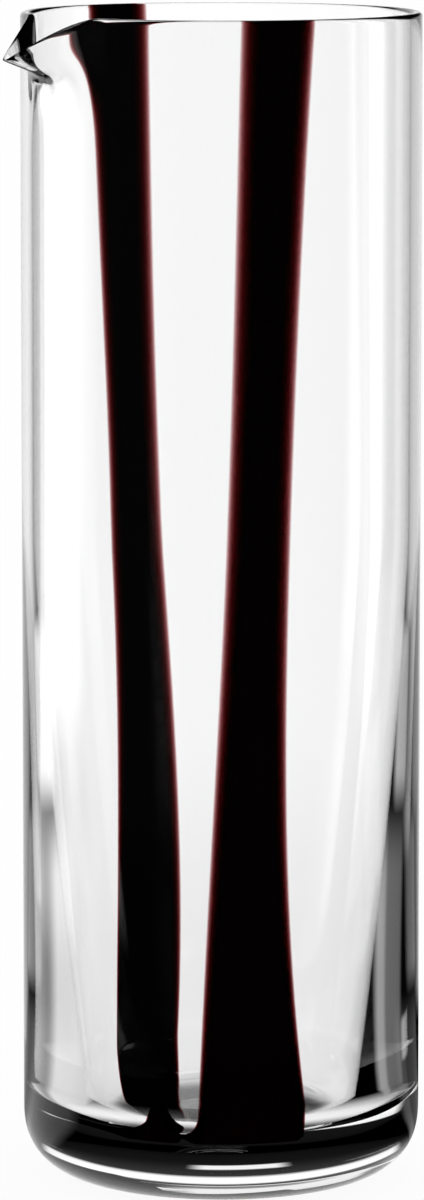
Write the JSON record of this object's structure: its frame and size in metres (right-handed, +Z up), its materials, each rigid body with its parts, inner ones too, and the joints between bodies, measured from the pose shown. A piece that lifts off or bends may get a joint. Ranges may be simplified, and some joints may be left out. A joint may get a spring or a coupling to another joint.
{
  "type": "water carafe",
  "caption": "Tall straight clear-glass water carafe with a heavy base, a soft foot, a pulled pouring lip and dark stripes held inside the wall.",
  "frame": {"origin": "centre of the flat foot, on the table, on the axis of the turned body", "axes": "+Z up along the body's axis towards the rim, -Y towards the pictured front, +X to the viewer's right; the lip points to the front left"},
  "size_m": [0.0981, 0.0951, 0.28],
  "materials": {
    "clear_glass": "clear fire-polished blown glass, smooth, with a faint neutral tint where it is thick",
    "wine_black_glass": "dense wine-coloured glass, black where it is thick and deep red along its thin edges"
  },
  "bodies": {
    "root": {"inner_bubble": "clear_glass", "front_stripe": "wine_black_glass", "back_stripe": "wine_black_glass", "outer_casing": "clear_glass"}
  },
  "joints": []
}
